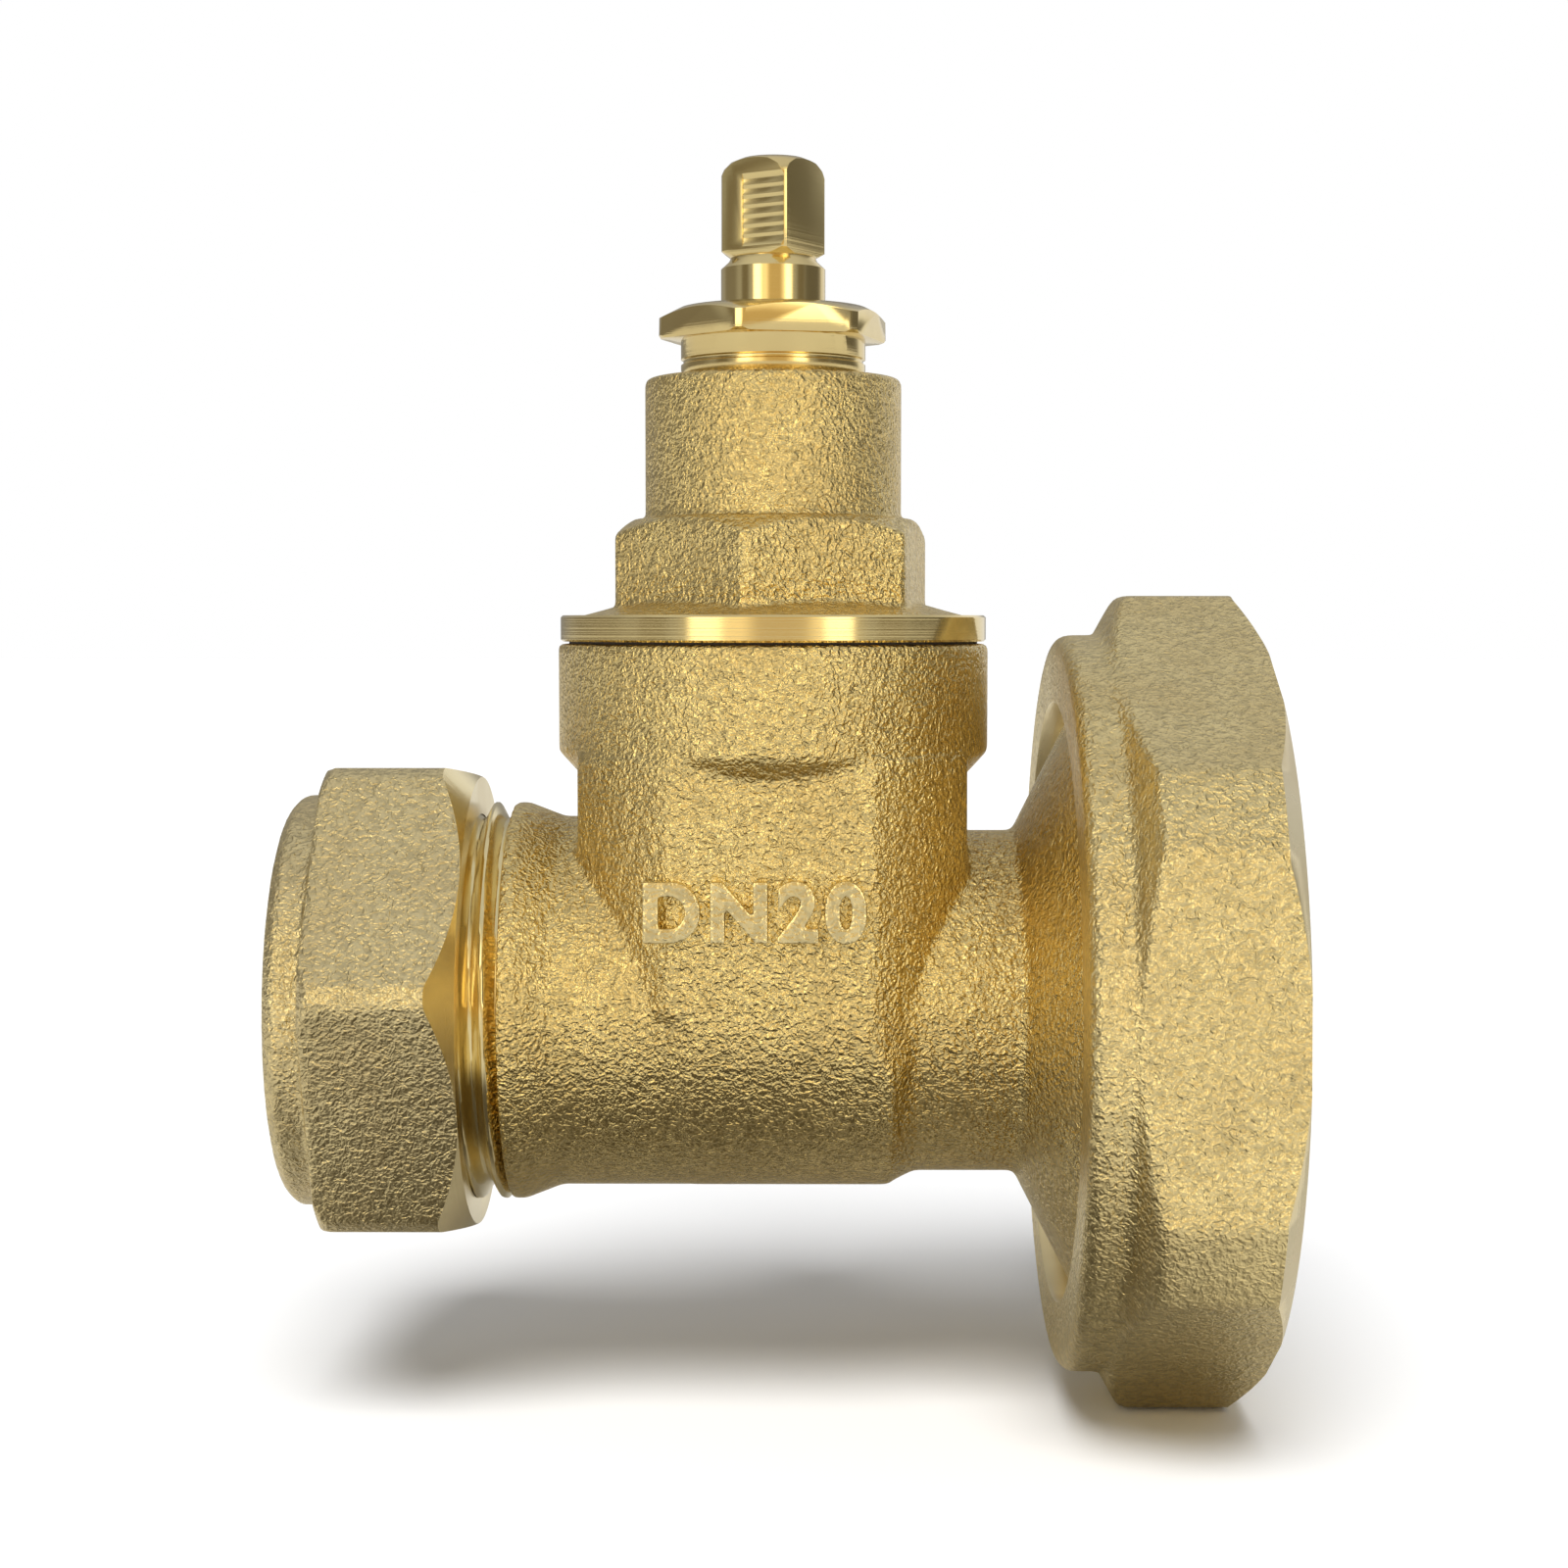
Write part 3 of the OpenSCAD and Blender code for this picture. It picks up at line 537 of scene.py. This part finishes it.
ring = turned("ring", [(FLANGE - 0.5, 0), (FLANGE - 0.5, 12.4), (FLANGE, 12.4), (FLANGE, 14.62),
                       (FLANGE - 0.24, 14.66), (FLANGE - 0.24, 15.0), (FLANGE - 0.1, 15.15),
                       (FLANGE + 1.45, 15.15), (FLANGE + 1.6, 15.0), (FLANGE + 1.6, 13.6), (FLANGE + 1.6, 0)],
              "Z", STEM_X)
fit(bonnet, finish_with(ring, turned_edge), "UNION")
skirt = threaded("skirt", SKIRT, FLANGE - 0.3, 1.5, 12.5, 12.0, "Z", STEM_X)
fit(bonnet, finish_with(skirt, turned_edge), "UNION")
inside = turned("inside", [(SKIRT - 1, 0), (SKIRT - 1, 10.8), (FLANGE + 0.55, 10.8), (FLANGE + 0.55, 6.9),
                           (FLANGE + 6.05, 6.9), (FLANGE + 6.05, 3.8), (FLANGE + 8.25, 3.8), (FLANGE + 8.25, 5.4),
                           (FLANGE + 14.95, 5.4), (FLANGE + 14.95, 6.2), (TOWER - 0.35, 6.2), (TOWER + 0.65, 7.2),
                           (TOWER + 0.65, 0)], "Z", STEM_X)
fit(bonnet, finish_with(inside, turned_edge))
keep(bonnet, "casing", "bonnet")


# ---- Bonnet gasket ----
# A thin ring of pressed fibre, squeezed between the neck and the bonnet's flange. Its near-black colour
# is painted shade, standing for the shaded gap line between the two.

dress("bonnet_gasket", plain("fibre_gasket_painted_gap_shade", (0.07, 0.06, 0.05), 0.75, 0.4, 0.02, 0.15))


# ---- Gland nut ----
# A thin hexagon nut turned from bar. Its threaded shank screws into the tower and presses the
# follower down; a fine groove parts the thread from the bright shank.

GLAND = [1000 * corner.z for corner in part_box("gland_nut")]

head = fit(hexagon("gland_nut", 14.5, GLAND[1] - 2.2, GLAND[1], "Z", STEM_X, 13.7 + 30),
           turned("head_form", [(GLAND[1] - 2.2, 0), (GLAND[1] - 2.2, 8.0), (GLAND[1] - 2.0, 8.2),
                                (GLAND[1] - 0.75, 8.17), (GLAND[1], 6.7), (GLAND[1], 0)], "Z", STEM_X), "INTERSECT")
gland_nut = finish_with(head, turned_bright)
shank = turned("shank", [(GLAND[0], 0), (GLAND[0], 5.7), (GLAND[0] + 2.65, 5.7), (GLAND[0] + 2.75, 6.45),
                         (GLAND[0] + 3.2, 6.55), (GLAND[0] + 3.55, 6.55), (GLAND[0] + 3.65, 6.38),
                         (GLAND[0] + 3.85, 6.38), (GLAND[0] + 3.95, 6.55), (GLAND[1] - 2.0, 6.55), (GLAND[1] - 2.0, 0)],
               "Z", STEM_X)
fit(gland_nut, finish_with(shank, turned_bright), "UNION")
fit(gland_nut, finish_with(turned("stem_hole", [(GLAND[0] - 1, 0), (GLAND[0] - 1, 3.8), (GLAND[1] - 0.25, 3.8),
                                                (GLAND[1] + 0.3, 4.35), (GLAND[1] + 0.3, 0)], "Z", STEM_X),
                           turned_bright))
soften(gland_nut, 0.08)
fit(gland_nut, finish_with(fit(threaded("gland_thread", GLAND[0], GLAND[0] + 2.65, 1.0, 6.15, 5.65, "Z", STEM_X),
                               turned("hole", [(GLAND[0] - 1, 0), (GLAND[0] - 1, 4.2), (GLAND[0] + 4, 4.2),
                                               (GLAND[0] + 4, 0)], "Z", STEM_X)), turned_bright), "UNION")
keep(gland_nut, "gland", "gland_nut", 30)


# ---- Olive ----
# A soft brass ring. The nut squeezes it between its cone and the body's, onto the pipe.

dress("olive", brass("soft_brass", (0.88, 0.71, 0.36), 0.22, lines=(0.008, 0.2, 0)))


# ---- Compression nut ----
# A forged hexagon nut with a round collar at its outer end, shot-blasted all over. The bore, the
# thread and the long chamfer towards the body are turned bright afterwards.

nut_skin = brass("nut_skin", (0.80, 0.67, 0.37), 0.31, grain=(0.16, 0.76))
nut_turned = brass("nut_turned", (0.89, 0.77, 0.46), 0.20, lines=(0.008, 0.12, 0))

NUT = [1000 * corner.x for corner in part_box("compression_nut")]

nut_hexagon = fit(hexagon("compression_nut", 32, NUT[0] + 2.9, NUT[1] + 1, "X", 0, -8),
                  turned("nut_form", [(NUT[0] + 2.9, 0), (NUT[0] + 2.9, 17.3), (NUT[0] + 3.6, 18.1),
                                      (NUT[1] + 1, 18.1), (NUT[1] + 1, 0)]), "INTERSECT")
collar = turned("collar", [(NUT[0], 0), (NUT[0], 14.0), (NUT[0] + 0.7, 14.7), (NUT[0] + 4, 14.7), (NUT[0] + 4, 0)])
compression_nut = finish_with(one_casting([nut_hexagon, collar], 0.25, 6), nut_skin)
compression_nut.name = "compression_nut"
lathe_form = turned("lathe_form", [(NUT[0] - 1, 0), (NUT[0] - 1, 20), (NUT[1] - 3.4, 20), (NUT[1], 16.0), (NUT[1], 0)])
fit(compression_nut, finish_with(lathe_form, nut_turned), "INTERSECT")
fit(compression_nut, finish_with(turned("pipe_hole", [(NUT[0] - 1, 0), (NUT[0] - 1, 12.1), (NUT[0], 11.6),
                                                      (NUT[0] + 0.5, 11.1), (NUT[0] + 2.4, 11.1), (NUT[0] + 5.2, 13.3),
                                                      (NUT[0] + 5.2, 0)]), nut_turned))
nut_thread = threaded("nut_thread", NUT[0] + 4.95, NUT[1] + 1, 1.8, 14.32, 13.17, faded=False)
fit(compression_nut, finish_with(nut_thread, nut_turned))
keep(compression_nut, "pipe_nut", "compression_nut")


# ---- Union nut ----
# A wide forged nut, slipped over the tail before the flange is turned, so that it stays captive. The
# hexagon and collar are shot-blasted; the end chamfer, the lip and the pump thread are machined.

union_skin = brass("union_skin", (0.87, 0.72, 0.37), 0.31, grain=(0.18, 0.78))
union_turned = brass("union_turned", (0.86, 0.73, 0.42), 0.27, lines=(0.012, 0.18, 0))

UNION = [1000 * corner.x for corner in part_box("union_nut")]

wide_hexagon = fit(hexagon("union_nut", 53, UNION[0] + 2.8, UNION[1] + 1, "X", 0, -32),
                   turned("union_form", [(UNION[0] + 2.8, 0), (UNION[0] + 2.8, 25.9), (UNION[0] + 4.5, 29.0),
                                         (UNION[1] + 1, 29.0), (UNION[1] + 1, 0)]), "INTERSECT")
wide_collar = turned("collar", [(UNION[0], 0), (UNION[0], 25.6), (UNION[0] + 0.6, 26.2), (UNION[0] + 4, 26.2),
                                (UNION[0] + 4, 0)])
union_nut = finish_with(one_casting([wide_hexagon, wide_collar], 0.32, 8), union_skin)
union_nut.name = "union_nut"
end_form = turned("end_form", [(UNION[0] - 1, 0), (UNION[0] - 1, 30), (UNION[1] - 1.6, 30), (UNION[1] - 1.4, 28.8),
                               (UNION[1], 26.7), (UNION[1], 0)])
fit(union_nut, finish_with(end_form, union_turned), "INTERSECT")
hollow = turned("hollow", [(UNION[0] - 1, 0), (UNION[0] - 1, 22.0), (UNION[0] + 0.25, 21.31), (UNION[0] + 2.95, 21.31),
                           (UNION[0] + 2.95, 23.9), (UNION[0] + 8.15, 23.9), (UNION[0] + 8.15, 0)])
fit(union_nut, finish_with(hollow, union_turned))
pump_thread = threaded("pump_thread", UNION[0] + 8.0, UNION[1] + 1, 2.3, 23.9, 22.45, faded=False)
fit(union_nut, finish_with(pump_thread, union_turned))
keep(union_nut, "union", "union_nut")


# ---- Pump washer ----
# A flat black rubber ring that seals the tail against the pump's spigot.

dress("pump_washer", plain("black_rubber", (0.028, 0.028, 0.028), 0.62, 0.3, 0.015, 0.2))
